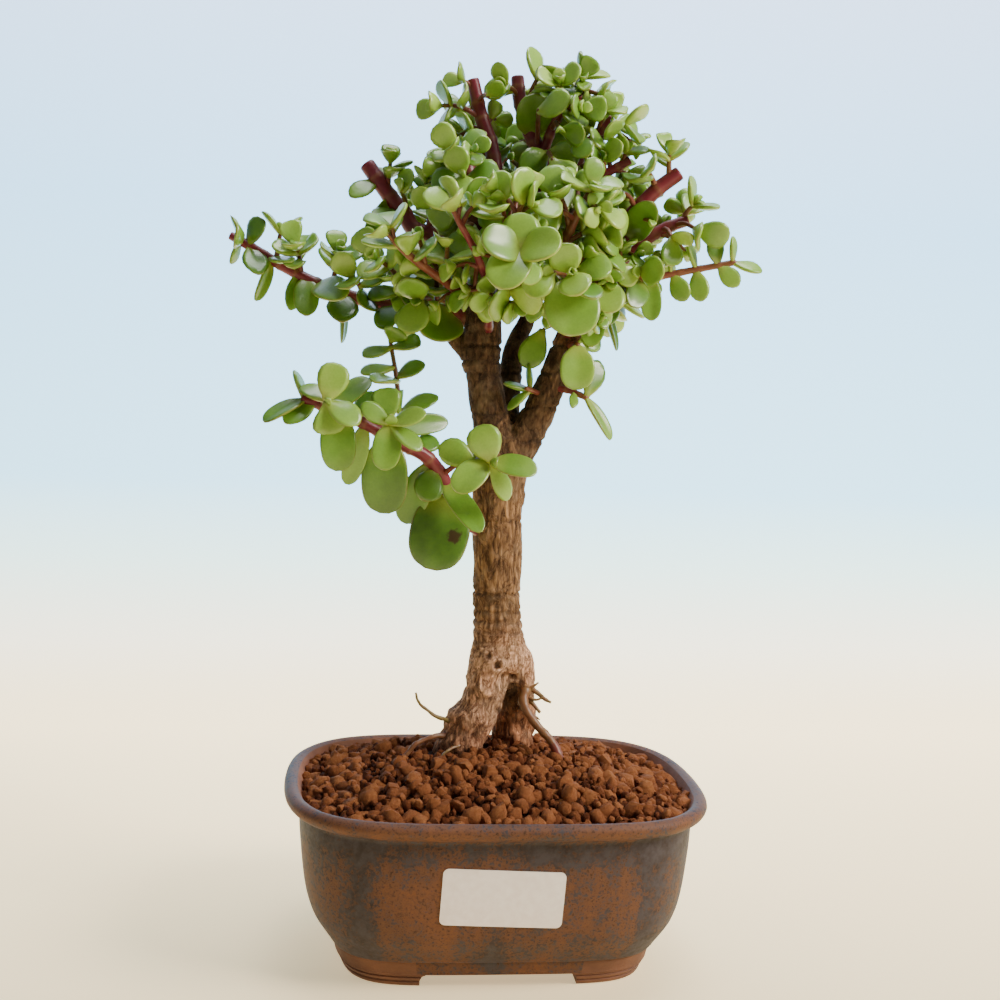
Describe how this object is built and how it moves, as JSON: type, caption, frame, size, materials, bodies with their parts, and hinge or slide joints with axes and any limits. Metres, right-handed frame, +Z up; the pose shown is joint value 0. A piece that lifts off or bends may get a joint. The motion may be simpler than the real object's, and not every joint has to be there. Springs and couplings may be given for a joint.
{
  "type": "dwarf jade bonsai",
  "caption": "Small succulent bonsai with a bare fissured trunk, a spreading crown of fleshy round leaves, and a glazed oblong footed pot of clay granules with a blank sticker.",
  "frame": {"origin": "centre of the whole object's bounding box in plan, at the feet's underside", "axes": "+Z up along the trunk, +X along the pot's long side to the right of the side with the sticker, +Y to the back, away from the sticker"},
  "size_m": [0.1854, 0.128, 0.3204],
  "materials": {
    "pot": "satin mottled brown glaze, rough unglazed feet and inside",
    "screen": "matte moulded mesh",
    "soil": "matte baked clay granules",
    "label": "smooth coated paper, blank",
    "bark": "matte, finely fissured",
    "stem": "satin young bark",
    "leaf": "waxy satin skin over soft flesh"
  },
  "bodies": {
    "root": {"pot": "pot", "drain_screen_left": "screen", "drain_screen_right": "screen", "soil": "soil", "label": "label", "trunk": "bark", "low_left": "leaf", "left_long": "leaf", "left_front": "leaf", "left_cut": "leaf", "top_thick": "leaf", "top_left": "leaf", "top_mid": "leaf", "top_right": "leaf", "right_front": "leaf", "right_cut": "leaf", "right_long": "leaf", "front_low": "leaf", "front_high": "leaf", "front_right": "leaf", "front_left": "leaf", "crotch": "leaf", "limb_spur": "leaf", "limb_leaf": "leaf", "back_mid": "leaf", "back_left_low": "leaf", "back_left": "leaf", "back_top": "leaf", "back_right_low": "leaf", "back_right": "leaf", "back_top_right": "leaf"}
  },
  "joints": []
}
